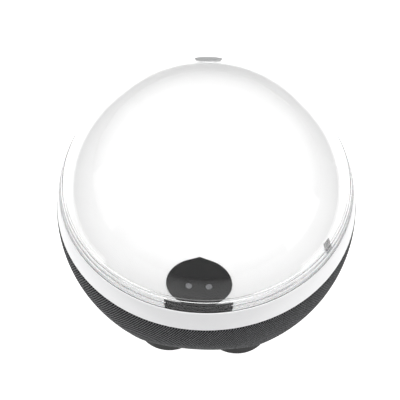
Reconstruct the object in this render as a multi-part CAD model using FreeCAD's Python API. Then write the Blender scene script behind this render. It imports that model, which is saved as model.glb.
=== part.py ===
"""Ball-shaped smart speaker: clear dome, white trim ring, fabric lower half.

Millimetres, +Z up, front towards -Y. The origin is on the floor under the
ball's centre. The speaker stands on four rubber feet.
"""
import FreeCAD, Part
import math
import os
from FreeCAD import Vector

# ---------------------------------------------------------------- outer ball
ball_radius = 75.0            # fabric surface
seat_radius = 40.7            # circle where the ball is cut flat on its base
base_top = 9.0                # height of that cut above the floor
facet_depth = 2.5             # the lower half is gently flattened on four sides
facet_radius = 125.0          # curvature of the flattened sides
facet_latitude = -34.0        # degrees, where each side is flattest
band_bottom = 2.9             # heights above the ball's centre
seam_height = 15.8
flange_top = 22.4
band_inset = 0.25             # trim ring lies inside the ball's surface
flange_inset = 0.35
dome_inset = 0.7
ball_z = base_top + math.sqrt(ball_radius ** 2 - seat_radius ** 2)

# ------------------------------------------------------------------- shells
fabric_thickness = 1.3
shell_gap = 0.1
housing_wall = 2.5
housing_floor = 3.0
trim_wall = 3.0
ledge_thickness = 1.5
rest_thickness = 1.6
cover_wall = 2.2
diffuser_gap = 0.6
diffuser_wall = 1.6
gasket_thickness = 0.5
part_gap = 0.2                # clearance where two shells meet edge to edge
trim_round = 0.45
bead_depth = 0.6              # grooves round the cover's foot
bead_height = 1.4
bead_levels = (0.9, 3.2)      # above the cover's foot
diffuser_line_depth = 0.4     # thin line round the diffuser
diffuser_line_height = 0.6
diffuser_line_level = 21.7    # above the ball's centre

# --------------------------------------------------------------------- base
base_clearance = 1.5          # underside of the base above the floor
lobe_radius = 17.0
lobe_x = 17.6
lobe_y = 28.7
lobe_rise = 3.5               # lobes reach this far up the ball
lobe_top_round = 4.0
lobe_bottom_round = 1.5
base_disc_radius = 39.5
foot_radius = 12.0
foot_height = 2.5
foot_round = 0.6
floor_boss_height = 5.0
deflector_radius = 20.0
deflector_height = 9.0
deflector_rim = 1.0
deflector_tip = 2.0
deflector_waist = (9.0, 3.6)  # radius and height where its slope changes

# -------------------------------------------------------------- sound slots
slot_rows = ((-19.0, -10.0), (-33.0, -23.0), (-45.0, -37.0))   # about the ball's centre
slot_count = 20
slot_width = 3.0
slot_reach = 14.0             # start of the cut inside the ball's surface

# ------------------------------------------------------------------ screws
screw_radius = 1.5
screw_head_radius = 2.6
screw_head_height = 1.8
pilot_clearance = 0.1         # hole radius over screw radius
boss_wall = 1.9

# ------------------------------------------------------------------- woofer
woofer_room = 14.0            # from the housing floor to the baffle
baffle_thickness = 3.0
baffle_post_radius = 40.0     # circle of the four posts
woofer_body_radius = 28.0
woofer_flange_radius = 34.0
woofer_flange_inner = woofer_body_radius - 1.0
woofer_neck_radius = woofer_body_radius - 4.5
woofer_flange_thickness = 2.5
woofer_gasket_thickness = 0.8
woofer_basket_height = 18.0
woofer_wall = 1.5
woofer_hole_clearance = 0.6
woofer_screw_circle = 31.3
basket_lap = 3.0              # basket over the edge of the top plate's hole
basket_window_width = 12.0
basket_window_height = 7.6
basket_window_rise = 3.0      # above the flange
basket_window_reach = 6.0     # starts this far inside the neck
basket_window_count = 6
woofer_screw_radius = 1.2
woofer_screw_head_radius = 2.04
woofer_screw_head_height = 1.2
coil_radius = 9.6
coil_wall = 0.6
coil_clearance_in = 0.4
coil_clearance_out = 0.6
coil_length = 16.8
top_plate_radius = 22.0
top_plate_thickness = 4.0
magnet_radius = 22.5
magnet_hole_radius = 12.5
magnet_thickness = 10.0
yoke_radius = 21.5
yoke_thickness = 4.0
cone_outer_radius = woofer_body_radius - 4.4
cone_depth = 9.8
cone_thickness = 1.0
roll_radius = 1.8
roll_thickness = 0.5
cap_depth = 2.6
spider_thickness = 0.8
spider_drop = 2.5             # under the basket's top
spider_waves = 5
spider_wave = 0.5
spider_gap = 0.2              # to the basket's wall

# ------------------------------------------------------------------ chamber
chamber_gap = 4.0             # to the lower housing
chamber_wall = 2.5
chamber_flat_depth = 6.0      # flats for the passive radiators
lid_thickness = 3.0
column_angle = 70.0
column_bite = 1.0             # the screw columns run this far into the wall
felt_thickness = 5.0
felt_inset = 6.0              # from the circle of the screw columns
felt_gap = 2.0                # to the chamber's flat walls
lid_screw_length = 9.0
lid_pilot_depth = 10.0
passive_margin = 2.5
passive_frame_width = 4.0
passive_frame_thickness = 2.5
passive_roll_width = 4.0
passive_disc_thickness = 2.0
passive_weight_radius = 8.0
passive_weight_thickness = 4.0

# -------------------------------------------------------- deck, electronics
deck_thickness = 2.5
deck_lift = 0.2               # deck underside above the trim ring's lower edge
deck_gap = 0.6
frame_screw_inset = 4.6       # from the trim ring's inner wall
frame_screw_count = 6
frame_boss_length = 14.0
board_thickness = 1.6
main_board_radius = 42.0
main_board_lift = 2.5
board_screw_circle = 36.0
led_board_inner = 46.0
led_board_outer = 57.0
led_board_lift = 6.5
led_count = 12
reflector_radius = 45.0
reflector_rise = 12.0
reflector_skirt = 10.5
reflector_wall = 1.5
cable_hole_radius = 6.0
cable_hole_y = 25.0
shield_size = (24.0, 24.0, 3.0)
shield_corner = (-12.0, -30.0)
heatsink_size = (20.0, 18.0, 2.0)
heatsink_corner = (-26.0, 2.0)
fin_count = 6
fin_thickness = 1.0
fin_height = 6.0
capacitor_radius = 4.0
capacitor_height = 9.0
capacitor_places = ((12.0, 8.0), (22.0, 8.0), (12.0, 18.0), (22.0, 18.0))
connector_size = (10.0, 5.0, 5.0)
connector_corners = ((-5.0, 30.0), (-5.0, 5.0), (25.0, -8.0), (-35.0, -12.0))
aerial_size = (1.0, 20.0, 6.0)
aerial_gap = 2.0              # outside the ring of lamps
aerial_angles = (210, 330)
led_chip_size = (3.0, 3.0, 1.4)
microphone_size = (2.8, 3.8, 1.1)

# ------------------------------------------------- sensors, buttons, socket
window_latitude = 24.0
window_half_width = 15.2
window_rise = 14.2            # oval above and below the window's middle
window_drop = 11.8
window_point_angle = 20.0     # the pointed top starts this far round from its tip
window_foot_half_width = 16.0
window_foot_lap = 1.1         # the foot reaches this far up over the oval's lower edge
window_proud = 0.15           # window surface over the diffuser's
window_wall = 2.0
window_tube_radius = 10.0
window_tube_wall = 1.5
window_tube_length = 5.0
lens_radius = 1.5
lens_spread = 4.7
lens_clearance = 0.15
lens_length = 12.0
lens_proud = 0.05
sensor_board_gap = 2.5        # to the back of the window
sensor_board_radius = 8.0
side_sensor_azimuth = 60.0
side_marker_azimuth = -105.0
side_piece_width = 4.4
side_piece_height = 7.0
side_piece_rise = 0.5         # above the cover's foot
side_piece_depth = 4.0
rear_azimuth = 182.0
rear_latitude = 46.8
rear_button_radius = 6.4
rear_lip = 1.2
rear_lip_thickness = 1.5
rear_lip_gap = 1.4            # from the diffuser to the lip
rear_cup_wall = 1.5
rear_dome_base = 4.0          # outer radii of the silicone dome, wide end and narrow end
rear_dome_tip = 2.4
rear_dome_wall = 0.8
rear_dome_height = 4.5
button_clearance = 0.3
button_width = 11.0
button_height = 4.6
button_spacing = 20.0
button_level = 10.6           # above the ball's centre
button_lip = 0.7
button_reach = 3.6            # the keys start this far inside the trim ring
button_lip_thickness = 1.5
button_dome_height = 2.0
button_dome_base = 2.4
button_dome_tip = 1.4
button_dome_wall = 0.6
button_board_width = 40.0
socket_level = -20.0
socket_radius = 3.1
socket_depth = 9.0
socket_pin_radius = 0.95
bezel_radius = 6.0
bezel_depth = 7.5
socket_body = (11.0, 13.0, 10.0)

UP = Vector(0, 0, 1)
CENTRE = Vector(0, 0, ball_z)
CUTTER = 2.0                  # how far a cutting shape runs past a face


# ================================================================== helpers
def save(name, shape):
    """Write one sub-part."""
    shape.exportStep("parts/" + name + ".step")


def cylinder(radius, z0, z1, x=0.0, y=0.0):
    return Part.makeCylinder(radius, z1 - z0, Vector(x, y, z0))


def ring(outer, inner, z0, z1):
    return cylinder(outer, z0, z1).cut(cylinder(inner, z0 - CUTTER, z1 + CUTTER))


def turned(points):
    """Solid turned about Z from a closed outline of (radius, height)."""
    outline = Part.makePolygon([Vector(r, 0, z) for r, z in points + points[:1]])
    return Part.Face(outline).revolve(Vector(), UP, 360)


def joined(shapes):
    first, rest = shapes[0], shapes[1:]
    return first.multiFuse(rest).removeSplitter() if rest else first


def group(shapes):
    return Part.makeCompound(shapes)


def around(shape, angles):
    """Copies of a shape turned about Z."""
    copies = []
    for angle in angles:
        copy = shape.copy()
        copy.rotate(Vector(), UP, angle)
        copies.append(copy)
    return copies


def even(count, start=0.0):
    return [start + 360.0 * index / count for index in range(count)]


def at_angle(radius, degrees):
    turn = math.radians(degrees)
    return radius * math.cos(turn), radius * math.sin(turn)


def direction(azimuth, latitude):
    """Unit vector; azimuth 0 is the front (-Y) and grows towards +X."""
    az, lat = math.radians(azimuth), math.radians(latitude)
    return Vector(math.sin(az) * math.cos(lat), -math.cos(az) * math.cos(lat), math.sin(lat))


def rod(axis, radius, start, end):
    """Cylinder on a ray from the ball's centre."""
    return Part.makeCylinder(radius, end - start, CENTRE + axis * start, axis)


def tube(axis, outer, inner, start, end):
    return rod(axis, outer, start, end).cut(rod(axis, inner, start - CUTTER, end + CUTTER))


def sphere(radius):
    return Part.makeSphere(radius, CENTRE)


def slab(z0, z1):
    return cylinder(ball_radius + 20, z0, z1)


def screw(x, y, head_z, length, down=True):
    """Pan-head screw; head_z is the underside of its head."""
    sign = 1 if down else -1
    head = Part.makeCylinder(screw_head_radius, screw_head_height,
                             Vector(x, y, head_z), UP * sign)
    shank = Part.makeCylinder(screw_radius, length, Vector(x, y, head_z), UP * -sign)
    return joined([head, shank])


def rho(radius, height):
    """Radius of the circle that a ball of this radius has at a height over its centre."""
    return math.sqrt(radius ** 2 - height ** 2)


def faceted_ball(depth):
    """The ball with its four flattened sides, moved inwards by depth."""
    shape = sphere(ball_radius - depth)
    for azimuth in (0, 90, 180, 270):
        axis = direction(azimuth, facet_latitude)
        middle = CENTRE + axis * (ball_radius - facet_depth - facet_radius)
        shape = shape.common(Part.makeSphere(facet_radius - depth, middle))
    return shape


# ============================================================ shared places
housing_outer = fabric_thickness + shell_gap
housing_inner = housing_outer + housing_wall
floor_top = base_top + housing_floor
band_z = ball_z + band_bottom
seam_z = ball_z + seam_height
flange_z = ball_z + flange_top
baffle_z = floor_top + woofer_room
chamber_z = baffle_z + baffle_thickness
deck_z = band_z + deck_lift
deck_top = deck_z + deck_thickness
lid_z = deck_z - lid_thickness
chamber_radius = (rho(ball_radius - housing_inner, chamber_z - ball_z)
                  - facet_depth - chamber_gap)
chamber_flat = chamber_radius - chamber_flat_depth
column_circle = chamber_radius - chamber_wall - screw_radius - boss_wall + column_bite
trim_outer = ball_radius - band_inset
trim_inner = trim_outer - trim_wall
frame_circle = rho(trim_inner, deck_top + ledge_thickness - ball_z) - frame_screw_inset
frame_angles = even(frame_screw_count)
dome_outer = ball_radius - dome_inset
dome_inner = dome_outer - cover_wall
diffuser_outer = dome_inner - diffuser_gap
diffuser_inner = diffuser_outer - diffuser_wall
dome_z = seam_z + gasket_thickness
cover_foot_inner = rho(dome_inner, dome_z - ball_z)
gasket_outer = rho(trim_outer, seam_height) - trim_round - part_gap
foot_places = [(sx * lobe_x, sy * lobe_y) for sx in (-1, 1) for sy in (-1, 1)]
post_angles = even(4, 45)
window_axis = direction(0, window_latitude)
window_foot_top = (ball_z + window_foot_lap + diffuser_outer
                   * math.sin(math.radians(window_latitude) - math.asin(window_drop / diffuser_outer)))
rear_axis = direction(rear_azimuth, rear_latitude)
button_xs = (-button_spacing / 2, button_spacing / 2)
button_back = rho(trim_inner, button_level) - button_clearance - button_reach
button_board_y = button_back - button_dome_height - board_thickness
main_board_z = deck_top + main_board_lift
led_board_z = deck_top + led_board_lift
# woofer heights, from the baffle down and up
gasket_z = baffle_z - woofer_gasket_thickness
flange_low = gasket_z - woofer_flange_thickness
basket_top = gasket_z + woofer_basket_height
cone_z = gasket_z - coil_wall
neck_z = cone_z + cone_depth
plate_top = basket_top + top_plate_thickness
magnet_top = plate_top + magnet_thickness
passive_z = (chamber_z + lid_z) / 2
passive_radius = (lid_z - chamber_z) / 2 - passive_margin
passive_bore = passive_radius - passive_frame_width
passive_disc_radius = passive_bore - passive_roll_width


# ===================================================================== base
def make_base():
    above = faceted_ball(-part_gap).common(slab(base_top, ball_z))
    lobes = []
    for x, y in foot_places:
        lobe = cylinder(lobe_radius, base_clearance, base_top + lobe_rise, x, y)
        edges = sorted((e for e in lobe.Edges if e.Curve.TypeId == "Part::GeomCircle"),
                       key=lambda e: e.BoundBox.ZMin)
        lobe = lobe.makeFillet(lobe_top_round, [edges[-1]])
        low = sorted((e for e in lobe.Edges if e.Curve.TypeId == "Part::GeomCircle"),
                     key=lambda e: e.BoundBox.ZMin)[0]
        lobes.append(lobe.makeFillet(lobe_bottom_round, [low]).cut(above))
    base = joined(lobes + [cylinder(base_disc_radius, base_clearance, base_top)])
    for x, y in foot_places:
        base = base.cut(cylinder(foot_radius + shell_gap, 0, foot_height, x, y))
        base = base.cut(cylinder(screw_head_radius + part_gap, 0,
                                 foot_height + screw_head_height + part_gap, x, y))
        base = base.cut(cylinder(screw_radius + pilot_clearance, 0, base_top + 1, x, y))
    save("base_plate", base)

    feet = []
    screws = []
    for x, y in foot_places:
        foot = cylinder(foot_radius, 0, foot_height, x, y)
        lowest = [e for e in foot.Edges if e.BoundBox.ZMax < 0.01]
        feet.append(foot.makeFillet(foot_round, lowest))
        screws.append(screw(x, y, foot_height + screw_head_height,
                            floor_top + floor_boss_height - foot_height - screw_head_height - 1,
                            down=False))
    save("rubber_feet", group(feet))
    save("base_screws", group(screws))

    top = floor_top + deflector_height
    save("deflector_cone", turned([(0, floor_top), (deflector_radius, floor_top),
                                   (deflector_radius, floor_top + deflector_rim),
                                   (deflector_waist[0], floor_top + deflector_waist[1]),
                                   (deflector_tip, top), (0, top)]))


# =========================================================== lower housing
def socket_cut(radius, start):
    return Part.makeCylinder(radius, ball_radius - start + CUTTER,
                             Vector(0, start, ball_z + socket_level), Vector(0, 1, 0))


def make_lower_housing():
    wall_top = band_z - part_gap
    outer = faceted_ball(housing_outer).common(slab(base_top, wall_top))
    hollow = faceted_ball(housing_inner).common(slab(floor_top, wall_top + CUTTER))
    inside = faceted_ball(housing_outer + housing_wall / 2)
    adds = []
    cuts = []
    for x, y in foot_places:
        adds.append(cylinder(screw_radius + boss_wall, floor_top, floor_top + floor_boss_height, x, y))
        cuts.append(cylinder(screw_radius + pilot_clearance, base_top - 1,
                             floor_top + floor_boss_height + 1, x, y))
    for angle in post_angles:
        x, y = at_angle(baffle_post_radius, angle)
        post = cylinder(screw_radius + boss_wall, base_top, baffle_z, x, y)
        adds.append(post.common(inside))
        cuts.append(cylinder(screw_radius + pilot_clearance, baffle_z - woofer_room + 2,
                             baffle_z + 1, x, y))
    boss = cylinder(screw_radius + boss_wall, deck_z - frame_boss_length, deck_z, frame_circle)
    rib_length = ball_radius - frame_circle
    rib = Part.makeBox(rib_length, 3.0, frame_boss_length - 1,
                       Vector(frame_circle, -1.5, deck_z - frame_boss_length))
    boss = joined([boss, rib]).common(inside.common(slab(0, deck_z)))
    hole = cylinder(screw_radius + pilot_clearance, deck_z - frame_boss_length + 1, deck_z + 1,
                    frame_circle)
    adds += around(boss, frame_angles)
    cuts += around(hole, frame_angles)
    for low, high in slot_rows:
        slot = Part.makeBox(2 * slot_reach, slot_width, high - low,
                            Vector(rho(ball_radius, low) - slot_reach, -slot_width / 2, ball_z + low))
        cuts += around(slot, even(slot_count, 180 / slot_count))
    cuts.append(socket_cut(bezel_radius - 0.9, ball_radius - 30))
    save("lower_housing", outer.cut(hollow).multiFuse(adds).cut(group(cuts)))


def make_fabric():
    outer = faceted_ball(0).common(slab(base_top + part_gap, band_z - part_gap))
    sleeve = outer.cut(faceted_ball(fabric_thickness))
    save("fabric_sleeve", sleeve.cut(socket_cut(bezel_radius + shell_gap, 40)))


def make_socket():
    """Round power socket, level, at the back."""
    face = rho(ball_radius, socket_level) - facet_depth * 0.3
    back = Vector(0, face - bezel_depth, ball_z + socket_level)
    along = Vector(0, 1, 0)
    bezel = Part.makeCylinder(bezel_radius, bezel_depth + CUTTER, back, along)
    bezel = bezel.common(faceted_ball(-0.3))
    narrow = Part.makeCylinder(bezel_radius + 1, bezel_depth + CUTTER, back, along)
    neck = narrow.cut(Part.makeCylinder(bezel_radius - 1.0, bezel_depth + CUTTER, back, along))
    bezel = bezel.cut(neck.common(faceted_ball(fabric_thickness)))
    mouth = Part.makeCylinder(socket_radius, socket_depth + 20, back - along * 2, along)
    save("inlet_bezel", bezel.cut(mouth))
    width, length, height = socket_body
    start = Vector(-width / 2, back.y - length, back.z - height / 2)
    body = Part.makeBox(width, length, height, start)
    bore = Part.makeCylinder(socket_radius, socket_depth, back - along * socket_depth, along)
    pin = Part.makeCylinder(socket_pin_radius, socket_depth + 1, back - along * (socket_depth + 1), along)
    save("power_socket", body.cut(bore).fuse(pin))


# ================================================================== woofer
def make_woofer():
    baffle = cylinder(chamber_radius, baffle_z, chamber_z)
    baffle = baffle.cut(cylinder(woofer_body_radius + woofer_hole_clearance,
                                 baffle_z - 1, chamber_z + 1))
    cuts = []
    screws = []
    for angle in post_angles:
        x, y = at_angle(baffle_post_radius, angle)
        cuts.append(cylinder(screw_radius + pilot_clearance, baffle_z - 1, chamber_z + 1, x, y))
        screws.append(screw(x, y, chamber_z, baffle_thickness + woofer_room - 4))
    small = woofer_screw_radius
    fixings = []
    for angle in even(4):
        x, y = at_angle(woofer_screw_circle, angle)
        cuts.append(cylinder(small + pilot_clearance, baffle_z - 1, chamber_z + 1, x, y))
        head = cylinder(woofer_screw_head_radius, flange_low - woofer_screw_head_height, flange_low, x, y)
        fixings.append(joined([head, cylinder(small, flange_low, chamber_z - 0.5, x, y)]))
    save("woofer_baffle", baffle.cut(group(cuts)))
    save("baffle_screws", group(screws))
    save("woofer_screws", group(fixings))

    plate_in = coil_radius + coil_wall + coil_clearance_out
    basket = turned([(woofer_flange_inner, flange_low), (woofer_flange_radius, flange_low),
                     (woofer_flange_radius, gasket_z), (woofer_body_radius, gasket_z),
                     (woofer_neck_radius, basket_top), (plate_in + basket_lap, basket_top),
                     (plate_in + basket_lap, basket_top - woofer_wall),
                     (woofer_neck_radius - woofer_wall, basket_top - woofer_wall),
                     (woofer_body_radius - woofer_wall, gasket_z),
                     (woofer_flange_inner, gasket_z - 0.2)])
    window = Part.makeBox(woofer_body_radius, basket_window_width, basket_window_height,
                          Vector(woofer_neck_radius - basket_window_reach, -basket_window_width / 2,
                                 gasket_z + basket_window_rise))
    cuts = around(window, even(basket_window_count, 180 / basket_window_count))
    holes = []
    for angle in even(4):
        x, y = at_angle(woofer_screw_circle, angle)
        holes.append(cylinder(small + pilot_clearance, flange_low - 1, baffle_z + 1, x, y))
    save("woofer_basket", basket.cut(group(cuts + holes)))
    gasket = ring(woofer_flange_radius - 0.5, woofer_body_radius + woofer_hole_clearance,
                  gasket_z, baffle_z)
    save("woofer_gasket", gasket.cut(group(holes)))
    save("woofer_top_plate", ring(top_plate_radius, plate_in, basket_top, plate_top))
    save("woofer_magnet", ring(magnet_radius, magnet_hole_radius, plate_top, magnet_top))
    pole_radius = coil_radius - coil_clearance_in
    save("woofer_yoke", joined([cylinder(yoke_radius, magnet_top, magnet_top + yoke_thickness),
                                cylinder(pole_radius, basket_top, magnet_top)]))
    save("voice_coil", ring(coil_radius + coil_wall, coil_radius, neck_z, neck_z + coil_length))
    neck = coil_radius + coil_wall
    save("woofer_cone", turned([(neck, neck_z), (neck, neck_z + cone_thickness),
                                (cone_outer_radius, cone_z + cone_thickness),
                                (cone_outer_radius, cone_z)]))
    # dust cap: a shallow dome that closes the cone's neck
    cap_radius = (neck ** 2 + cap_depth ** 2) / (2 * cap_depth)
    ball = Part.makeSphere(cap_radius, Vector(0, 0, neck_z - cap_depth + cap_radius))
    inner = Part.makeSphere(cap_radius - coil_wall, Vector(0, 0, neck_z - cap_depth + cap_radius))
    cap = ball.cut(inner).common(cylinder(neck, neck_z - cap_depth - 1, neck_z))
    save("dust_cap", cap)
    middle = cone_outer_radius + roll_radius - part_gap
    roll = Part.makeTorus(middle, roll_radius, Vector(0, 0, cone_z))
    roll = roll.cut(Part.makeTorus(middle, roll_radius - roll_thickness, Vector(0, 0, cone_z)))
    save("woofer_surround", roll.common(cylinder(40, cone_z - 5, cone_z)))
    spider_z = basket_top - woofer_wall - spider_drop
    reach = woofer_body_radius - woofer_wall - spider_gap
    slope = (woofer_body_radius - woofer_neck_radius) / woofer_basket_height
    outer = reach - slope * (spider_z + spider_thickness - gasket_z)
    lower, upper = [], []
    for step in range(2 * spider_waves + 1):
        r = neck + (outer - neck) * step / (2 * spider_waves)
        low = spider_z - (0 if step % 2 else spider_wave)
        lower.append((r, low))
        upper.append((r, low + spider_thickness))
    save("woofer_spider", turned(lower + upper[::-1]))


# ================================================================= chamber
def chamber_outline(radius, flat, z0, z1):
    block = Part.makeBox(2 * flat, 2 * radius, z1 - z0, Vector(-flat, -radius, z0))
    return cylinder(radius, z0, z1).common(block)


def make_chamber():
    body = chamber_outline(chamber_radius, chamber_flat, chamber_z, lid_z)
    body = body.cut(chamber_outline(chamber_radius - chamber_wall, chamber_flat - chamber_wall,
                                    chamber_z - 1, lid_z + 1))
    angles = (column_angle, 180 - column_angle, 180 + column_angle, 360 - column_angle)
    places = [at_angle(column_circle, angle) for angle in angles]
    columns = [cylinder(screw_radius + boss_wall, chamber_z, lid_z, x, y) for x, y in places]
    inside = cylinder(chamber_radius - 0.5, chamber_z, lid_z)
    body = body.multiFuse([column.common(inside) for column in columns])
    port = Part.makeCylinder(passive_bore + 0.5, 2 * chamber_radius,
                             Vector(-chamber_radius, 0, passive_z), Vector(1, 0, 0))
    pilots = [cylinder(screw_radius + pilot_clearance, lid_z - lid_pilot_depth, lid_z + 1, x, y)
              for x, y in places]
    save("acoustic_chamber", body.cut(group([port] + pilots)))
    lid = chamber_outline(chamber_radius, chamber_flat, lid_z, deck_z)
    sink = deck_z - screw_head_height - part_gap
    cuts = []
    screws = []
    for x, y in places:
        cuts.append(cylinder(screw_radius + pilot_clearance, lid_z - 1, deck_z + 1, x, y))
        cuts.append(cylinder(screw_head_radius + part_gap, sink, deck_z + 1, x, y))
        screws.append(screw(x, y, sink, lid_screw_length))
    save("chamber_lid", lid.cut(group(cuts)))
    save("lid_screws", group(screws))
    felt = chamber_outline(column_circle - felt_inset, chamber_flat - chamber_wall - felt_gap,
                           lid_z - felt_thickness, lid_z)
    save("chamber_felt", felt)


def make_passive(side, sign):
    """Passive radiator on a chamber flat; sign is +1 on the right (+X)."""
    out = Vector(sign, 0, 0)
    face = chamber_flat

    def disc(radius, start, end):
        return Part.makeCylinder(radius, end - start, Vector(sign * start, 0, passive_z), out)

    frame_end = face + passive_frame_thickness
    frame = disc(passive_radius, face, frame_end).cut(disc(passive_bore, face - 1, frame_end + 1))
    save("passive_frame_" + side, frame)
    cone = disc(passive_disc_radius, frame_end - passive_disc_thickness, frame_end)
    weight = disc(passive_weight_radius, frame_end - passive_disc_thickness
                  - passive_weight_thickness, frame_end - passive_disc_thickness)
    save("passive_cone_" + side, joined([cone, weight]))
    middle = (passive_bore + passive_disc_radius) / 2
    thickness = roll_thickness
    radius = passive_roll_width / 2
    centre = Vector(sign * frame_end, 0, passive_z)
    roll = Part.makeTorus(middle, radius + thickness / 2, centre, out)
    roll = roll.cut(Part.makeTorus(middle, radius - thickness / 2, centre, out))
    save("passive_surround_" + side, roll.common(disc(passive_radius, frame_end, frame_end + 8)))


# ======================================================== deck and boards
def make_deck():
    deck = cylinder(rho(trim_inner, deck_z - ball_z) - deck_gap, deck_z, deck_top)
    posts = []
    cuts = around(cylinder(screw_radius + pilot_clearance, deck_z - 1, deck_top + 1, frame_circle),
                  frame_angles)
    board_screws = []
    for angle in even(4, 45):
        x, y = at_angle(board_screw_circle, angle)
        posts.append(cylinder(screw_radius + boss_wall, deck_z, main_board_z, x, y))
        cuts.append(cylinder(screw_radius + pilot_clearance, deck_z + 1, main_board_z + 1, x, y))
        board_screws.append(screw(x, y, main_board_z + board_thickness,
                                  board_thickness + main_board_lift))
    led_circle = (led_board_inner + led_board_outer) / 2
    posts += around(cylinder(screw_radius + boss_wall, deck_z, led_board_z, led_circle), even(4))
    cuts += [cylinder(cable_hole_radius, deck_z - 1, deck_top + 1, 0, y)
             for y in (-cable_hole_y, cable_hole_y)]
    save("deck_plate", deck.multiFuse(posts).cut(group(cuts)))
    save("board_screws", group(board_screws))
    frame_screws = around(screw(frame_circle, 0, deck_top + ledge_thickness,
                                ledge_thickness + deck_thickness + frame_boss_length - 3),
                          frame_angles)
    save("frame_screws", group(frame_screws))

    top = main_board_z + board_thickness
    board = cylinder(main_board_radius, main_board_z, top)
    holes = [cylinder(screw_radius + pilot_clearance, main_board_z - 1, top + 1,
                      *at_angle(board_screw_circle, angle)) for angle in even(4, 45)]
    save("main_board", board.cut(group(holes)))
    save("processor_shield", Part.makeBox(*shield_size, Vector(*shield_corner, top)))
    left, front = heatsink_corner
    wide, deep, thick = heatsink_size
    pitch = (wide - fin_thickness) / (fin_count - 1)
    fins = [Part.makeBox(fin_thickness, deep, fin_height, Vector(left + pitch * index, front, top + thick))
            for index in range(fin_count)]
    plate = Part.makeBox(wide, deep, thick, Vector(left, front, top))
    save("amplifier_heatsink", joined([plate] + fins))
    save("capacitors", group([cylinder(capacitor_radius, top, top + capacitor_height, x, y)
                              for x, y in capacitor_places]))
    save("board_connectors", group([Part.makeBox(*connector_size, Vector(x, y, top))
                                    for x, y in connector_corners]))
    aerial = Part.makeBox(*aerial_size, Vector(led_board_outer + aerial_gap, -aerial_size[1] / 2, deck_top))
    save("wifi_aerials", group(around(aerial, aerial_angles)))

    led_top = led_board_z + board_thickness
    save("led_board", ring(led_board_outer, led_board_inner, led_board_z, led_top))
    chip = Part.makeBox(*led_chip_size, Vector(led_board_inner + 2, -led_chip_size[1] / 2, led_top))
    save("led_chips", group(around(chip, even(led_count, 180 / led_count))))
    mic = Part.makeBox(*microphone_size, Vector(led_board_outer - 4, -microphone_size[1] / 2, led_top))
    save("microphones", group(around(mic, even(4, 45))))

    skirt_top = deck_top + reflector_skirt
    radius = (reflector_radius ** 2 + reflector_rise ** 2) / (2 * reflector_rise)
    middle = Vector(0, 0, skirt_top + reflector_rise - radius)
    cap = Part.makeSphere(radius, middle).cut(Part.makeSphere(radius - reflector_wall, middle))
    cap = cap.common(cylinder(reflector_radius, skirt_top - 1, skirt_top + reflector_rise + 1))
    cap = cap.common(slab(skirt_top, skirt_top + reflector_rise + 1))
    wall = ring(reflector_radius, reflector_radius - reflector_wall, deck_top, skirt_top + 0.3)
    save("light_reflector", joined([cap, wall]))


# ================================================================ trim ring
def pill(width, height, y0, y1, x):
    """Stadium-shaped bar along Y, centred on a volume button's place."""
    z = ball_z + button_level
    radius = height / 2
    flat = width - height
    bar = Part.makeBox(flat, y1 - y0, height, Vector(x - flat / 2, y0, z - radius))
    ends = [Part.makeCylinder(radius, y1 - y0, Vector(x + s * flat / 2, y0, z), Vector(0, 1, 0))
            for s in (-1, 1)]
    return joined([bar] + ends)


def disc_face(radius):
    circle = Part.makeCircle(radius, CENTRE, Vector(0, 1, 0))
    return Part.Face(Part.Wire(circle))


def make_trim_ring():
    # the wall's section is opened by its corner radius, which rounds its corners
    strip = Part.makePlane(ball_radius, seam_z - band_z, Vector(trim_inner / 2, 0, seam_z),
                           Vector(0, 1, 0), Vector(1, 0, 0))
    section = disc_face(trim_outer).cut(disc_face(trim_inner)).common(strip)
    section = section.Faces[0].makeOffset2D(-trim_round).makeOffset2D(trim_round)
    wall = section.revolve(Vector(), UP, 360)
    ledge_inner = led_board_outer + 5
    ledge = ring(rho(trim_inner, deck_top - ball_z) + 0.5, ledge_inner,
                 deck_top, deck_top + ledge_thickness)
    rest = ring(rho(trim_inner, seam_height) + 0.5, ledge_inner + 2,
                seam_z - rest_thickness, seam_z)
    trim = joined([wall, ledge, rest])
    trim = trim.common(slab(band_z, seam_z))
    cuts = around(cylinder(screw_radius + pilot_clearance, deck_top - 1,
                           deck_top + ledge_thickness + 1, frame_circle), frame_angles)
    grow = 2 * button_clearance
    for x in button_xs:
        cuts.append(pill(button_width + grow, button_height + grow, button_back - 2,
                         ball_radius + 5, x))
    # the lower ledge is notched for the buttons' board
    cuts.append(Part.makeBox(button_board_width + 2, board_thickness + 2, ledge_thickness + 2,
                             Vector(-button_board_width / 2 - 1, button_board_y - 1, deck_top - 1)))
    save("trim_ring", trim.cut(group(cuts)))
    gasket = ring(gasket_outer, cover_foot_inner, seam_z, dome_z)
    save("dome_gasket", gasket.cut(window_foot(part_gap)))


def make_buttons():
    lip = 2 * button_lip
    for name, x in zip(("volume_down_button", "volume_up_button"), button_xs):
        key = pill(button_width, button_height, button_back, ball_radius + 5, x)
        key = key.common(sphere(ball_radius - 0.1))
        flange = pill(button_width + lip, button_height + lip, button_back,
                      button_back + button_lip_thickness, x)
        save(name, joined([key, flange]))
    board_height = seam_z - rest_thickness - deck_top - part_gap
    save("button_board", Part.makeBox(button_board_width, board_thickness, board_height,
                                      Vector(-button_board_width / 2, button_board_y, deck_top)))
    z = ball_z + button_level
    domes = []
    for x in button_xs:
        start = Vector(x, button_back - button_dome_height, z)
        cone = Part.makeCone(button_dome_base, button_dome_tip, button_dome_height, start, Vector(0, 1, 0))
        core = Part.makeCone(button_dome_base - button_dome_wall, button_dome_tip - button_dome_wall,
                             button_dome_height - button_dome_wall, start, Vector(0, 1, 0))
        domes.append(cone.cut(core))
    save("button_domes", group(domes))


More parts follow.
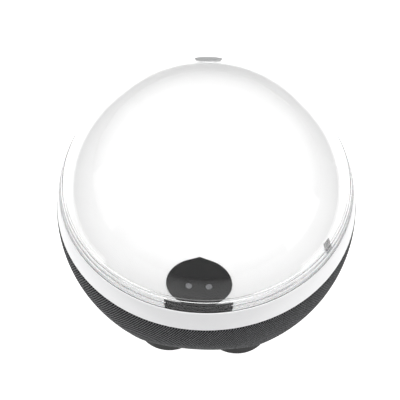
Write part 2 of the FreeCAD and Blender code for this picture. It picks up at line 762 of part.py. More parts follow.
# ===================================================================== dome
def window_outline(extra):
    """Oval outline with a softly pointed top, as a bar along the window's axis."""
    across = Vector(1, 0, 0)
    upward = across.cross(window_axis * -1)
    base = CENTRE + window_axis * (diffuser_inner - 20)
    wide = window_half_width + extra
    lean = math.radians(window_point_angle)

    def oval(tall, start, end):
        turns = [start + (end - start) * step / 24 for step in range(25)]
        curve = Part.BSplineCurve()
        curve.interpolate([base + across * (wide * math.cos(turn)) + upward * (tall * math.sin(turn))
                           for turn in turns])
        return curve.toShape()

    top = window_rise + extra
    right = oval(top, 0, math.pi / 2 - lean)
    left = oval(top, math.pi / 2 + lean, math.pi)
    tip = base + upward * (top / math.cos(lean))
    edges = [right, Part.makeLine(right.Vertexes[-1].Point, tip),
             Part.makeLine(tip, left.Vertexes[0].Point), left,
             oval(window_drop + extra, math.pi, 2 * math.pi)]
    return Part.Face(Part.Wire(edges)).extrude(window_axis * 60)


def window_foot(extra):
    """Bar behind the cover's foot, under the oval."""
    wide = window_foot_half_width + extra
    return Part.makeBox(2 * wide, ball_radius, window_foot_top + extra - seam_z,
                        Vector(-wide, -ball_radius, seam_z))


def side_bar(azimuth, extra, start, end):
    """Radial bar for a small piece at the dome's foot."""
    size = side_piece_width + 2 * extra
    bar = Part.makeBox(size, end - start, side_piece_height + 2 * extra,
                       Vector(-size / 2, -end, dome_z + side_piece_rise - extra))
    bar.rotate(Vector(), UP, azimuth)
    return bar


def make_dome():
    # the foot of the cover stands proud of the dome and has two bead lines
    flange_radius = ball_radius - flange_inset
    foot_outer = rho(flange_radius, dome_z - ball_z)
    profile = [(cover_foot_inner, dome_z), (foot_outer, dome_z)]
    for level in bead_levels:
        low, high = dome_z + level, dome_z + level + bead_height
        line = rho(flange_radius, low - ball_z)
        profile += [(line, low), (line - bead_depth, low + bead_height / 4),
                    (line - bead_depth, high - bead_height / 4), (rho(flange_radius, high - ball_z), high)]
    top_outer = rho(flange_radius, flange_top)
    inner = rho(dome_outer, flange_top) - cover_wall
    profile += [(top_outer, flange_z), (inner, flange_z), (inner, dome_z + 1)]
    foot = turned(profile)
    foot = foot.cut(sphere(dome_inner))
    shell = sphere(dome_outer).cut(sphere(dome_inner)).common(slab(flange_z, ball_z + ball_radius))
    rear_hole = rod(rear_axis, rear_button_radius + button_clearance, 40, ball_radius + 5)
    save("cover_dome", joined([foot, shell]).cut(rear_hole))

    white = sphere(diffuser_outer).cut(sphere(diffuser_inner))
    white = white.common(slab(seam_z, ball_z + ball_radius))
    line_z = ball_z + diffuser_line_level
    line = ring(ball_radius, rho(diffuser_outer, diffuser_line_level) - diffuser_line_depth,
                line_z - diffuser_line_height / 2, line_z + diffuser_line_height / 2)
    cuts = [window_outline(part_gap), window_foot(part_gap), rear_hole, line]
    low = rho(diffuser_inner, flange_top) - 6
    cuts += [side_bar(azimuth, part_gap, low, ball_radius)
             for azimuth in (side_sensor_azimuth, side_marker_azimuth)]
    save("diffuser_dome", white.cut(cuts))

    surface = diffuser_outer + window_proud
    above = slab(seam_z + 0.3, ball_z + ball_radius)
    pane = sphere(surface).cut(sphere(surface - window_wall))
    pane = pane.common(joined([window_outline(0), window_foot(0)]))
    collar = tube(window_axis, window_tube_radius + window_tube_wall, window_tube_radius,
                  surface - window_wall - window_tube_length, surface)
    collar = collar.common(sphere(surface - window_wall / 2))
    # the window's foot also lies under the cover's foot, where the gasket is left out
    pad = ring(gasket_outer, rho(surface - window_wall, seam_height), seam_z, dome_z)
    window = joined([joined([pane, collar]).common(above), pad.common(window_foot(0))])
    board_end = surface - window_wall - sensor_board_gap
    lenses = []
    for side in (-lens_spread, lens_spread):
        start = CENTRE + window_axis * board_end + Vector(side, 0, 0)
        window = window.cut(Part.makeCylinder(lens_radius + lens_clearance, lens_length, start, window_axis))
        lenses.append(Part.makeCylinder(lens_radius, lens_length, start, window_axis)
                      .common(sphere(surface + lens_proud)))
    save("sensor_window", window)
    save("sensor_lenses", group(lenses))
    save("sensor_board", rod(window_axis, sensor_board_radius, board_end - board_thickness, board_end))
    for name, azimuth in (("side_sensor", side_sensor_azimuth), ("side_marker", side_marker_azimuth)):
        bar = side_bar(azimuth, 0, low, ball_radius).common(sphere(surface))
        save(name, bar.cut(sphere(surface - side_piece_depth)))


def make_rear_button():
    lip_end = diffuser_inner - rear_lip_gap
    lip_start = lip_end - rear_lip_thickness
    key = rod(rear_axis, rear_button_radius, lip_start, ball_radius + 2)
    key = key.common(sphere(dome_outer))
    lip = rod(rear_axis, rear_button_radius + rear_lip, lip_start, lip_end)
    save("rear_button", joined([key, lip]))
    floor = lip_start - rear_dome_height
    inner = rear_button_radius + rear_lip + button_clearance
    cup = tube(rear_axis, inner + rear_cup_wall, inner, floor, diffuser_outer)
    cup = cup.common(sphere(diffuser_inner))
    end = rod(rear_axis, inner + rear_cup_wall, floor - rear_cup_wall, floor)
    save("rear_button_cup", joined([cup, end]))
    start = CENTRE + rear_axis * floor
    cone = Part.makeCone(rear_dome_base, rear_dome_tip, rear_dome_height, start, rear_axis)
    core = Part.makeCone(rear_dome_base - rear_dome_wall, rear_dome_tip - rear_dome_wall,
                         rear_dome_height - rear_dome_wall, start, rear_axis)
    save("rear_button_dome", cone.cut(core))


os.makedirs("parts", exist_ok=True)
make_base()
make_lower_housing()
make_fabric()
make_socket()
make_woofer()
make_chamber()
make_passive("right", 1)
make_passive("left", -1)
make_deck()
make_trim_ring()
make_buttons()
make_dome()
make_rear_button()
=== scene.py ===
"""Ball-shaped smart speaker with a clear domed top and a knitted lower half.

Builds the knitted sleeve and every finish around the fixed frame, then the stage.
Lengths are in metres.
"""
import math

import bpy
from bpy.props import FloatProperty, IntProperty, PointerProperty, StringProperty
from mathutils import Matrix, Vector


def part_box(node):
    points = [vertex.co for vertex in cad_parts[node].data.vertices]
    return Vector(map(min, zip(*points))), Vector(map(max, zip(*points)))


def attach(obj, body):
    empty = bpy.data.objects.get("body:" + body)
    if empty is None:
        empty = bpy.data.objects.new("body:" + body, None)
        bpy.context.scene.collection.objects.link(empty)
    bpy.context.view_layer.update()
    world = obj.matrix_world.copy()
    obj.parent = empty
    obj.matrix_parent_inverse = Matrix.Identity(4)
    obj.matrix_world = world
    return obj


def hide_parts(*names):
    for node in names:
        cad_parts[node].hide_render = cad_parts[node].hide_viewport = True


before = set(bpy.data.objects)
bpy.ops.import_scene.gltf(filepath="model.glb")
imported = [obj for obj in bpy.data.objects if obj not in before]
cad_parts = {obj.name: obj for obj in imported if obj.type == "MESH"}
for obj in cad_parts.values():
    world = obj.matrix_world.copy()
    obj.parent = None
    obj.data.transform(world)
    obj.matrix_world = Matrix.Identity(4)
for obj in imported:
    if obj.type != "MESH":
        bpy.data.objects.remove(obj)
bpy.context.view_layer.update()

bl_info = {
    "name": "Ball Smart Speaker",
    "version": (1, 0, 0),
    "blender": (4, 5, 0),
    "location": "3D View > Sidebar > Ball Speaker",
    "description": "Finishes, knitted sleeve and stage for a ball-shaped smart speaker",
    "category": "Object",
}

MM = 0.001


# ------------------------------------------------------------ places from the frame
def middle_of(node):
    low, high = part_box(node)
    return (low + high) / 2


def size_of(node):
    low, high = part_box(node)
    return high - low


SLEEVE_BOTTOM, SLEEVE_TOP = (corner.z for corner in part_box("fabric_sleeve"))
BALL_RADIUS = size_of("fabric_sleeve").x / 2
DOME_INSET = 0.7 * MM                                   # the dome lies this far inside the ball
DOME_RADIUS = BALL_RADIUS - DOME_INSET
BALL_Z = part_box("cover_dome")[1].z - DOME_RADIUS
HOLE_CLEARANCE = 0.05 * MM                              # round the socket's bezel
HEM_STEPS = 8                                           # mesh steps round each rolled hem


# ------------------------------------------------------------ node building
def linear(code):
    """An sRGB hex colour as linear red, green, blue and alpha."""
    parts = [int(code[i:i + 2], 16) / 255 for i in (0, 2, 4)]
    return [p / 12.92 if p <= 0.04045 else ((p + 0.055) / 1.055) ** 2.4 for p in parts] + [1.0]


def add(tree, kind, settings=None, inputs=None):
    """Add one node with its settings; an input is a value, or the first output of a node to link."""
    node = tree.nodes.new(kind)
    for key, value in (settings or {}).items():
        setattr(node, key, value)
    for key, value in (inputs or {}).items():
        if isinstance(value, bpy.types.Node):
            value = next(socket for socket in value.outputs if socket.enabled)
        if isinstance(value, bpy.types.NodeSocket):
            tree.links.new(value, node.inputs[key])
        else:
            node.inputs[key].default_value = value
    return node


def begin(name):
    """An empty material and its node tree."""
    material = bpy.data.materials.new(name)
    material.use_nodes = True
    material.node_tree.nodes.clear()
    return material, material.node_tree


def skin(name, tones, rough, grain, depth, drift=14.0, stretch=(1, 1, 1), own=None):
    """A solid finish: two close tones that drift over the piece, gloss and relief over a fine grain.

    Grain and drift are the sizes of their features and depth is the relief, all in millimetres.
    """
    material, tree = begin(name)
    spot = add(tree, "ShaderNodeTexCoord").outputs["Object"]
    drawn = add(tree, "ShaderNodeMapping", None, {"Vector": spot, "Scale": stretch})
    fine = add(tree, "ShaderNodeTexNoise", None, {"Vector": drawn, "Scale": 1 / (grain * MM), "Detail": 3.0})
    broad = add(tree, "ShaderNodeTexNoise", None, {"Vector": spot, "Scale": 1 / (drift * MM), "Detail": 2.0})
    colour = add(tree, "ShaderNodeMix", {"data_type": "RGBA"},
                 {0: broad, 6: linear(tones[0]), 7: linear(tones[1])})
    gloss = add(tree, "ShaderNodeMapRange", None,
                {"Value": fine, "From Min": 0.3, "From Max": 0.7, "To Min": rough[0], "To Max": rough[1]})
    bump = add(tree, "ShaderNodeBump", None, {"Height": fine, "Distance": depth * MM})
    inputs = {"Base Color": colour.outputs[2], "Roughness": gloss, "Normal": bump}
    shader = add(tree, "ShaderNodeBsdfPrincipled", None, {**inputs, **(own or {})})
    add(tree, "ShaderNodeOutputMaterial", None, {"Surface": shader})
    return material


def dress(material, *nodes):
    """Put one finish on every slot of these frame nodes."""
    for name in nodes:
        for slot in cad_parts[name].material_slots:
            slot.material = material


# ------------------------------------------------------------ finishes with a build of their own
def clear_acrylic():
    """Injection-moulded, polished PMMA: near water-clear, hard bright glints, no texture."""
    material, tree = begin("polished_clear_acrylic")
    spot = add(tree, "ShaderNodeTexCoord").outputs["Object"]
    haze = add(tree, "ShaderNodeTexNoise", None, {"Vector": spot, "Scale": 1 / (25 * MM), "Detail": 1.0})
    gloss = add(tree, "ShaderNodeMapRange", None, {"Value": haze, "To Min": 0.0, "To Max": 0.012})
    glass = add(tree, "ShaderNodeBsdfPrincipled", None, {
        "Base Color": linear("FEFEFE"), "Roughness": gloss, "IOR": 1.49, "Transmission Weight": 1.0})
    for_lamps = add(tree, "ShaderNodeBsdfTransparent", None, {"Color": linear("F9F9F9")})
    ray = add(tree, "ShaderNodeLightPath")
    mixed = add(tree, "ShaderNodeMixShader", None,
                {0: ray.outputs["Is Shadow Ray"], 1: glass, 2: for_lamps})
    add(tree, "ShaderNodeOutputMaterial", None, {"Surface": mixed})
    return material


def knitted_polyester(pitch, row, depth, dark, light):
    """Warp-knitted polyester cloth, stretched: slanting ribs of stitches over dark eyelets.

    One slant stands higher than the other, which gives the cloth its fine diagonal lines.
    """
    material, tree = begin("stretched_warp_knit_polyester")
    spot = add(tree, "ShaderNodeTexCoord").outputs["Object"]
    rise = add(tree, "ShaderNodeMapping", None, {"Vector": spot, "Location": (0, 0, -BALL_Z)})
    part = add(tree, "ShaderNodeSeparateXYZ", None, {0: rise})
    turn = add(tree, "ShaderNodeMath", {"operation": "ARCTAN2"}, {0: part.outputs[0], 1: part.outputs[1]})
    level = add(tree, "ShaderNodeMath", {"operation": "DIVIDE"}, {0: part.outputs[2], 1: BALL_RADIUS})
    slope = add(tree, "ShaderNodeMath", {"operation": "ARCSINE"}, {0: level})
    wobble = add(tree, "ShaderNodeTexNoise", None, {"Vector": spot, "Scale": 1 / (3 * MM), "Detail": 2.0})
    girth = math.tau * BALL_RADIUS
    around = add(tree, "ShaderNodeMath", {"operation": "MULTIPLY"}, {0: turn, 1: round(girth / pitch)})
    swayed = add(tree, "ShaderNodeMath", {"operation": "MULTIPLY_ADD"}, {0: wobble, 1: 3.0, 2: around})
    upward = add(tree, "ShaderNodeMath", {"operation": "MULTIPLY"}, {0: slope, 1: girth / row})
    rising = add(tree, "ShaderNodeMath", {"operation": "ADD"}, {0: swayed, 1: upward})
    falling = add(tree, "ShaderNodeMath", {"operation": "SUBTRACT"}, {0: swayed, 1: upward})
    ribs = add(tree, "ShaderNodeMath", {"operation": "COSINE"}, {0: rising})
    crossing = add(tree, "ShaderNodeMath", {"operation": "COSINE"}, {0: falling})
    stitches = add(tree, "ShaderNodeMath", {"operation": "MULTIPLY_ADD"}, {0: crossing, 1: 0.35, 2: ribs})
    yarn = add(tree, "ShaderNodeMapRange", None, {"Value": stitches, "From Min": -0.4, "From Max": 1.0})
    fibre = add(tree, "ShaderNodeTexNoise", None, {"Vector": spot, "Scale": 1 / (0.5 * MM), "Detail": 3.0})
    shine = add(tree, "ShaderNodeMapRange", None,
                {"Value": fibre, "From Min": 0.3, "From Max": 0.7, "To Min": 0.3, "To Max": 1.3})
    tone = add(tree, "ShaderNodeMath", {"operation": "MULTIPLY"}, {0: yarn, 1: shine})
    colour = add(tree, "ShaderNodeMix", {"data_type": "RGBA"}, {0: tone, 6: linear(dark), 7: linear(light)})
    height = add(tree, "ShaderNodeMath", {"operation": "MULTIPLY_ADD"}, {0: fibre, 1: 0.3, 2: yarn})
    bump = add(tree, "ShaderNodeBump", None, {"Height": height, "Distance": depth})
    gloss = add(tree, "ShaderNodeMapRange", None, {"Value": fibre, "To Min": 0.7, "To Max": 0.95})
    shader = add(tree, "ShaderNodeBsdfPrincipled", None, {
        "Base Color": colour.outputs[2], "Roughness": gloss, "Normal": bump, "Specular IOR Level": 0.12,
        "Sheen Weight": 0.05, "Sheen Roughness": 0.4, "Sheen Tint": linear("9A9B9E")})
    add(tree, "ShaderNodeOutputMaterial", None, {"Surface": shader})
    return material


# ------------------------------------------------------------ the knitted sleeve
def flattened_sides(settings):
    """Centres of the four flattened sides' curves, from the ball's centre."""
    lean = math.radians(settings.side_latitude)
    reach = BALL_RADIUS - settings.side_depth - settings.side_radius
    turns = [math.radians(angle) for angle in (0, 90, 180, 270)]
    return [Vector((math.sin(t) * math.cos(lean), -math.cos(t) * math.cos(lean), math.sin(lean))) * reach
            for t in turns]


def cloth_distance(way, centres, settings):
    """How far the stretched cloth is from the ball's centre along a unit direction."""
    distance = BALL_RADIUS
    soft = settings.crease_softness
    for centre in centres:
        along = way.dot(centre)
        flat = along + math.sqrt(along ** 2 - centre.length_squared + settings.side_radius ** 2)
        blend = max(soft - abs(distance - flat), 0.0) / soft
        distance = min(distance, flat) - blend ** 2 * soft / 4
    return distance


def mesh_object(name, verts, faces):
    """A smooth-shaded mesh object in the scene."""
    mesh = bpy.data.meshes.new(name)
    mesh.from_pydata(verts, [], faces)
    mesh.shade_smooth()
    made = bpy.data.objects.new(name, mesh)
    bpy.context.scene.collection.objects.link(made)
    return made


def cut_socket_hole(sleeve):
    """Cut the round hole that the socket's bezel comes out of."""
    bezel = middle_of("inlet_bezel")
    bpy.ops.mesh.primitive_cylinder_add(vertices=64, radius=size_of("inlet_bezel").z / 2 + HOLE_CLEARANCE,
                                        depth=BALL_RADIUS / 2, rotation=(math.pi / 2, 0, 0),
                                        location=(0, BALL_RADIUS, bezel.z))
    drill = bpy.context.object
    cut = sleeve.modifiers.new("socket_hole", "BOOLEAN")
    cut.object = drill
    bpy.context.view_layer.objects.active = sleeve
    bpy.ops.object.modifier_apply(modifier=cut.name)
    bpy.data.objects.remove(drill)


def sleeve_section(settings):
    """The cloth's cross-section as (latitude, depth under its face), round both rolled hems."""
    low, high = (math.asin((z - BALL_Z) / BALL_RADIUS) for z in (SLEEVE_BOTTOM, SLEEVE_TOP))
    roll = settings.thickness / 2
    lift = roll / BALL_RADIUS
    rows = settings.rows
    section = [(low + lift + (high - low - 2 * lift) * row / rows, 0.0) for row in range(rows + 1)]
    for edge, sign in ((high - lift, 1), (low + lift, -1)):
        turns = [math.pi * step / HEM_STEPS for step in range(1, HEM_STEPS + 1)]
        rolled = [(edge + sign * lift * math.sin(turn), roll * (1 - math.cos(turn))) for turn in turns]
        section += rolled if sign > 0 else rolled[::-1]
    return section


def make_sleeve(settings):
    centres = flattened_sides(settings)
    section = sleeve_section(settings)
    columns = settings.columns
    verts = []
    for latitude, depth in section:
        for column in range(columns):
            turn = math.tau * column / columns
            way = Vector((math.sin(turn) * math.cos(latitude), -math.cos(turn) * math.cos(latitude),
                          math.sin(latitude)))
            verts.append(way * (cloth_distance(way, centres, settings) - depth) + Vector((0, 0, BALL_Z)))
    faces = []
    for row in range(len(section)):
        above = (row + 1) % len(section)
        for column in range(columns):
            beside = (column + 1) % columns
            faces.append((row * columns + column, row * columns + beside,
                          above * columns + beside, above * columns + column))
    sleeve = mesh_object("knit_sleeve", verts, faces)
    cut_socket_hole(sleeve)
    return sleeve


# ------------------------------------------------------------ settings
class SleeveSettings(bpy.types.PropertyGroup):
    """Sizes and tones of the knitted sleeve."""
    side_latitude: FloatProperty(name="Flat side latitude", default=-34.0,
                                 description="Where each side is flattest, in degrees from level")
    side_depth: FloatProperty(name="Flat side depth", default=2.5 * MM, unit="LENGTH",
                              description="How far each side is drawn in")
    side_radius: FloatProperty(name="Flat side radius", default=125 * MM, unit="LENGTH",
                               description="Curvature of each flattened side")
    crease_softness: FloatProperty(name="Crease softness", default=0.5 * MM, unit="LENGTH",
                                   description="Depth over which the cloth rounds off a crease")
    thickness: FloatProperty(name="Cloth thickness", default=1.0 * MM, unit="LENGTH",
                             description="Thickness of the cloth with its backing")
    columns: IntProperty(name="Columns", default=480, description="Mesh steps round the ball")
    rows: IntProperty(name="Rows", default=90, description="Mesh steps from hem to hem")
    pitch: FloatProperty(name="Stitch pitch", default=1.35 * MM, unit="LENGTH",
                         description="Spacing of the stitches round the ball")
    row_pitch: FloatProperty(name="Row pitch", default=2.4 * MM, unit="LENGTH",
                             description="Spacing of the rows up the ball")
    relief: FloatProperty(name="Yarn relief", default=0.35 * MM, unit="LENGTH",
                          description="Height of the yarns over the eyelets")
    eyelet_tone: StringProperty(name="Eyelet colour", default="040405", description="sRGB hex")
    yarn_tone: StringProperty(name="Yarn colour", default="7C7D7F", description="sRGB hex")


class FinishSettings(bpy.types.PropertyGroup):
    """Colours that a user would change."""
    trim_tone: StringProperty(name="Trim colour", default="F1F1F2", description="sRGB hex")
    base_tone: StringProperty(name="Base colour", default="070708", description="sRGB hex")
    insert_tone: StringProperty(name="Insert colour", default="BABBBC", description="sRGB hex")


class StageSettings(bpy.types.PropertyGroup):
    """Camera, sky and lamps."""
    azimuth: FloatProperty(name="Camera azimuth", default=2.8,
                           description="Degrees round from the front, towards the right")
    elevation: FloatProperty(name="Camera elevation", default=56.0, description="Degrees above level")
    distance: FloatProperty(name="Camera distance", default=0.9, unit="LENGTH",
                            description="From the ball's centre")
    lens: FloatProperty(name="Lens", default=161.1, description="Focal length in mm on a 36 mm sensor")
    aside: FloatProperty(name="Aim aside", default=-3.17 * MM, unit="LENGTH",
                         description="How far the aim point lies to the right of the ball's centre")
    above: FloatProperty(name="Aim above", default=2.36 * MM, unit="LENGTH",
                         description="How far the aim point lies above the ball's centre, in the view")
    sky: FloatProperty(name="Sky brightness", default=0.26, description="Strength of the even sky")
    table: FloatProperty(name="Table brightness", default=0.9,
                         description="Brightness of the lit table top")
    ceiling: FloatProperty(name="Ceiling brightness", default=1.75,
                           description="Brightness of the cloth panel overhead")
    side: FloatProperty(name="Side brightness", default=0.7,
                        description="Brightness of the right panel; the left one is dimmer")


# ------------------------------------------------------------ operators
class SPEAKER_OT_sleeve(bpy.types.Operator):
    """Make the knitted sleeve"""
    bl_idname = "speaker.sleeve"
    bl_label = "Knitted Sleeve"

    def execute(self, context):
        settings = context.scene.speaker_sleeve
        sleeve = make_sleeve(settings)
        sleeve.data.materials.append(knitted_polyester(settings.pitch, settings.row_pitch, settings.relief,
                                                       settings.eyelet_tone, settings.yarn_tone))
        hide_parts("fabric_sleeve")
        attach(sleeve, "housing")
        return {"FINISHED"}


class SPEAKER_OT_dome(bpy.types.Operator):
    """Finish the clear dome, the diffuser under it and the trim ring"""
    bl_idname = "speaker.dome"
    bl_label = "Dome and Trim"

    def execute(self, context):
        finish = context.scene.speaker_finish
        dress(clear_acrylic(), "cover_dome")
        # light-diffusing polycarbonate: milky, soft shading over a very fine matt skin
        dress(skin("moulded_opal_polycarbonate", ("F3F3F3", "F8F8F8"), (0.38, 0.5), 0.5, 0.008, 30.0,
                   own={"Subsurface Weight": 0.2, "Subsurface Radius": (1, 1, 1),
                        "Subsurface Scale": 4 * MM}), "diffuser_dome")
        # lacquered ABS: a broad satin highlight over faint orange peel
        dress(skin("satin_lacquered_white_abs", (finish.trim_tone, "ECECED"), (0.3, 0.42), 1.2, 0.006,
                   own={"Coat Weight": 0.25, "Coat Roughness": 0.2}),
              "trim_ring", "volume_up_button", "volume_down_button")
        return {"FINISHED"}


class SPEAKER_OT_sensors(bpy.types.Operator):
    """Finish the sensor window, its lenses and the small inserts"""
    bl_idname = "speaker.sensors"
    bl_label = "Sensors and Inserts"

    def execute(self, context):
        finish = context.scene.speaker_finish
        # infrared-clear PMMA: looks black, with a soft sheen behind the dome
        dress(skin("polished_black_acrylic", ("121213", "161617"), (0.28, 0.36), 2.0, 0.002,
                   own={"IOR": 1.49}), "sensor_window")
        # smoked PMMA: darker and glossier than the window
        dress(skin("polished_smoked_acrylic", ("1B1B1C", "222223"), (0.1, 0.16), 2.0, 0.002,
                   own={"IOR": 1.49}), "side_sensor")
        # moulded lens: very glossy, so it holds a small real glint; its dark grey tone is a painted
        # highlight that makes both lenses show as light spots on the black window
        dress(skin("lens_polycarbonate_painted_glint", ("6A6B6E", "747578"), (0.04, 0.08), 1.0, 0.001,
                   own={"IOR": 1.58}), "sensor_lenses")
        # moulded ABS insert: plain grey with a fine spark texture
        dress(skin("spark_textured_grey_abs", (finish.insert_tone, "B0B1B2"), (0.45, 0.6), 0.4, 0.02),
              "rear_button", "side_marker")
        return {"FINISHED"}


class SPEAKER_OT_base(bpy.types.Operator):
    """Finish the base, its feet and the socket"""
    bl_idname = "speaker.base"
    bl_label = "Base, Feet and Socket"

    def execute(self, context):
        finish = context.scene.speaker_finish
        # moulded ABS: near black with a fine matt texture
        dress(skin("fine_textured_black_abs", (finish.base_tone, "0C0C0D"), (0.5, 0.65), 0.4, 0.02,
                   own={"Specular IOR Level": 0.3}),
              "base_plate", "inlet_bezel", "deflector_cone")
        # compression-moulded rubber: matt, slightly mottled
        dress(skin("moulded_black_rubber", ("0B0B0B", "121212"), (0.75, 0.9), 0.3, 0.03),
              "rubber_feet", "woofer_gasket")
        # glass-filled PBT: dark, with a faint fibre mottle
        dress(skin("moulded_connector_pbt", ("1E1E1F", "262627"), (0.5, 0.65), 0.6, 0.01, 5.0),
              "power_socket", "board_connectors")
        return {"FINISHED"}


class SPEAKER_OT_shells(bpy.types.Operator):
    """Finish the inner housings, lid, felt and screws"""
    bl_idname = "speaker.shells"
    bl_label = "Housings and Screws"

    def execute(self, context):
        # moulded ABS, unpainted: dark grey with flow mottle
        dress(skin("moulded_dark_abs", ("2C2C2E", "343436"), (0.45, 0.6), 0.8, 0.015),
              "lower_housing", "woofer_baffle", "acoustic_chamber", "chamber_lid",
              "passive_frame_left", "passive_frame_right")
        # needled polyester felt: soft, fibrous and grey
        dress(skin("needled_polyester_felt", ("9A9A98", "B4B4B2"), (0.9, 1.0), 0.4, 0.4, 6.0,
                   own={"Sheen Weight": 0.5, "Sheen Roughness": 0.6}), "chamber_felt")
        # moulded polycarbonate: clean white, fine matt
        dress(skin("moulded_white_polycarbonate", ("E6E6E4", "EEEEEC"), (0.4, 0.55), 0.6, 0.01),
              "deck_plate", "light_reflector", "rear_button_cup")
        # silicone: translucent-looking grey, waxy
        dress(skin("moulded_silicone", ("B8B9BA", "C6C7C8"), (0.5, 0.65), 0.5, 0.01,
                   own={"Subsurface Weight": 0.2, "Subsurface Scale": 1 * MM}),
              "dome_gasket", "rear_button_dome", "button_domes")
        # cold-headed steel, zinc plated: bright, faintly blotchy
        dress(skin("zinc_plated_steel", ("B9BBBC", "CDCFD0"), (0.25, 0.4), 0.3, 0.01, 3.0,
                   own={"Metallic": 1.0}),
              "base_screws", "baffle_screws", "woofer_screws", "lid_screws", "frame_screws", "board_screws")
        return {"FINISHED"}


class SPEAKER_OT_drivers(bpy.types.Operator):
    """Finish the woofer and the passive radiators"""
    bl_idname = "speaker.drivers"
    bl_label = "Drivers"

    def execute(self, context):
        # pressed steel, powder coated: black orange peel
        dress(skin("powder_coated_steel", ("19191A", "222223"), (0.5, 0.65), 0.7, 0.05), "woofer_basket")
        # turned steel, zinc plated: fine rings of tool marks
        dress(skin("turned_plated_steel", ("A9ABAA", "BDBFBE"), (0.2, 0.35), 0.3, 0.01, 8.0,
                   (1, 1, 8), {"Metallic": 1.0}), "woofer_top_plate", "woofer_yoke")
        # ground ceramic ferrite: dark, dry and slightly chipped
        dress(skin("ground_ferrite", ("2B2B2D", "39393B"), (0.55, 0.75), 0.5, 0.05, 4.0), "woofer_magnet")
        # enamelled copper wire, wound: thin horizontal turns of 0.2 mm
        dress(skin("enamelled_copper_winding", ("B4683C", "C9814F"), (0.2, 0.35), 1.0, 0.05, 6.0,
                   (1, 1, 5), {"Metallic": 1.0}), "voice_coil")
        # pressed paper pulp: black, fibrous
        dress(skin("pressed_paper_pulp", ("1F1F1F", "2C2C2B"), (0.8, 0.95), 0.6, 0.08, 5.0),
              "woofer_cone", "dust_cap")
        # moulded butyl rubber: satin black
        dress(skin("moulded_butyl_rubber", ("151515", "1B1B1B"), (0.45, 0.6), 0.8, 0.01),
              "woofer_surround", "passive_surround_left", "passive_surround_right")
        # woven cotton stiffened with resin: ochre, threads 0.4 mm apart
        dress(skin("resin_stiffened_cotton", ("B0873E", "C99D52"), (0.75, 0.9), 0.4, 0.1, 3.0),
              "woofer_spider")
        # anodised aluminium: even grey with a fine brushed grain
        dress(skin("anodised_aluminium", ("AFB0B2", "BBBCBE"), (0.3, 0.42), 0.3, 0.01, 20.0,
                   (1, 12, 1), {"Metallic": 1.0}), "passive_cone_left", "passive_cone_right")
        return {"FINISHED"}


class SPEAKER_OT_electronics(bpy.types.Operator):
    """Finish the circuit boards and what is on them"""
    bl_idname = "speaker.electronics"
    bl_label = "Electronics"

    def execute(self, context):
        # glass-epoxy laminate under green solder mask: slightly uneven where tracks run
        dress(skin("solder_masked_glass_epoxy", ("12402A", "1B5537"), (0.3, 0.45), 1.2, 0.03, 2.0),
              "main_board", "led_board", "sensor_board", "button_board", "wifi_aerials")
        # tinned steel sheet: soft bright metal
        dress(skin("tinned_steel_sheet", ("C6C7C5", "D6D7D5"), (0.3, 0.42), 0.8, 0.01, 4.0,
                   own={"Metallic": 1.0}), "processor_shield", "microphones")
        # extruded aluminium: lengthwise die lines
        dress(skin("extruded_aluminium", ("B4B5B7", "C4C5C7"), (0.35, 0.5), 0.4, 0.02, 8.0,
                   (8, 1, 8), {"Metallic": 1.0}), "amplifier_heatsink")
        # shrink-sleeved cans: dark blue PVC, semi-gloss
        dress(skin("shrunk_pvc_sleeve", ("1E2433", "262D3F"), (0.25, 0.35), 1.5, 0.01, 6.0), "capacitors")
        # cast silicone over phosphor: pale yellow
        dress(skin("cast_phosphor_silicone", ("E2D38A", "EBDFA0"), (0.2, 0.3), 0.5, 0.005, 1.0), "led_chips")
        return {"FINISHED"}


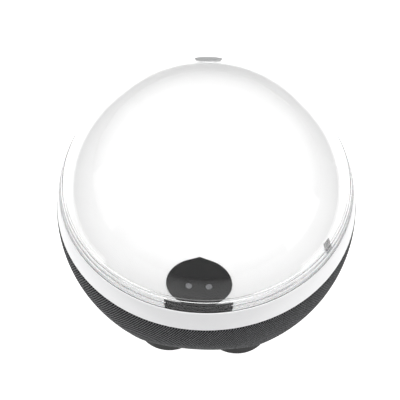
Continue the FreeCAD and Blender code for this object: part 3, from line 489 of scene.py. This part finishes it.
class SPEAKER_OT_stage(bpy.types.Operator):
    """Make the floor, sky, lamps and camera"""
    bl_idname = "speaker.stage"
    bl_label = "Stage"

    def execute(self, context):
        settings = context.scene.speaker_stage
        scene = context.scene
        # matt card: very slightly uneven
        card = skin("matt_pale_card", ("CDCDCD", "D2D2D2"), (0.85, 0.95), 2.0, 0.01, 400.0,
                    own={"Specular IOR Level": 0.1})
        # opal acrylic table top, lit from below: matt and even, so that nothing casts a shadow on it
        opal = skin("backlit_opal_acrylic", ("F2F2F2", "F6F6F6"), (0.7, 0.85), 2.0, 0.01, 400.0,
                    own={"Specular IOR Level": 0.1, "Emission Color": (1, 1, 1, 1),
                         "Emission Strength": settings.table})
        # name, finish, half width, front, back and level
        tops = (("floor", card, 3.0, -3.0, 3.0, -3 * MM), ("lit_table", opal, 0.26, -0.13, 0.42, 0.0))
        for name, finish, half, front, back, level in tops:
            sheet = mesh_object(name, [(-half, front, level), (half, front, level),
                                       (half, back, level), (-half, back, level)], [(0, 1, 2, 3)])
            sheet.data.materials.append(finish)

        sky = bpy.data.worlds.new("studio_sky")
        sky.use_nodes = True
        sky.node_tree.nodes["Background"].inputs["Color"].default_value = (1, 1, 1, 1)
        sky.node_tree.nodes["Background"].inputs["Strength"].default_value = settings.sky
        scene.world = sky

        turn, lean = math.radians(settings.azimuth), math.radians(settings.elevation)
        out = Vector((math.sin(turn) * math.cos(lean), -math.cos(turn) * math.cos(lean), math.sin(lean)))
        right = Vector((math.cos(turn), math.sin(turn), 0))
        upward = out.cross(right)
        centre = Vector((0, 0, BALL_Z))
        data = bpy.data.cameras.new("camera")
        data.lens = settings.lens
        camera = bpy.data.objects.new("camera", data)
        camera.location = centre + out * settings.distance
        target = centre + right * settings.aside + upward * settings.above
        camera.rotation_euler = (target - camera.location).to_track_quat("-Z", "Y").to_euler()
        scene.collection.objects.link(camera)
        scene.camera = camera

        # lit cloth panels: name, place, width and height, brightness, and the way each faces
        panels = (("ceiling_panel", (0.0, -0.35, 1.0), (1.7, 1.5), settings.ceiling, Vector((0, 0.15, -1))),
                  ("left_panel", (-1.4, -0.1, 0.5), (1.0, 0.9), settings.side * 0.6, Vector((1, 0, -0.2))),
                  ("right_panel", (1.4, -0.3, 0.4), (1.0, 0.8), settings.side, Vector((-1, 0.1, -0.1))))
        for name, place, size, brightness, aim in panels:
            lamp = bpy.data.lights.new(name, "AREA")
            lamp.shape = "RECTANGLE"
            lamp.size, lamp.size_y = size
            lamp.energy = brightness * math.pi * size[0] * size[1]
            holder = bpy.data.objects.new(name, lamp)
            holder.location = place
            holder.rotation_euler = aim.to_track_quat("-Z", "Y").to_euler()
            scene.collection.objects.link(holder)
        scene.view_settings.view_transform = "Standard"
        return {"FINISHED"}


class SPEAKER_PT_panel(bpy.types.Panel):
    """Lists the pieces"""
    bl_idname = "SPEAKER_PT_panel"
    bl_label = "Ball Speaker"
    bl_space_type = "VIEW_3D"
    bl_region_type = "UI"
    bl_category = "Ball Speaker"

    def draw(self, context):
        for operator in OPERATORS:
            self.layout.operator(operator.bl_idname)


SETTINGS = {"speaker_sleeve": SleeveSettings, "speaker_finish": FinishSettings,
            "speaker_stage": StageSettings}
OPERATORS = (SPEAKER_OT_sleeve, SPEAKER_OT_dome, SPEAKER_OT_sensors, SPEAKER_OT_base, SPEAKER_OT_shells,
             SPEAKER_OT_drivers, SPEAKER_OT_electronics, SPEAKER_OT_stage)


def register():
    for name, group in SETTINGS.items():
        bpy.utils.register_class(group)
        setattr(bpy.types.Scene, name, PointerProperty(type=group))
    for item in OPERATORS + (SPEAKER_PT_panel,):
        bpy.utils.register_class(item)


def unregister():
    for item in (SPEAKER_PT_panel,) + OPERATORS[::-1]:
        bpy.utils.unregister_class(item)
    for name, group in SETTINGS.items():
        delattr(bpy.types.Scene, name)
        bpy.utils.unregister_class(group)


def main():
    register()
    bpy.ops.speaker.sleeve()
    bpy.ops.speaker.dome()
    bpy.ops.speaker.sensors()
    bpy.ops.speaker.base()
    bpy.ops.speaker.shells()
    bpy.ops.speaker.drivers()
    bpy.ops.speaker.electronics()
    bpy.ops.speaker.stage()


if __name__ == "__main__":
    main()
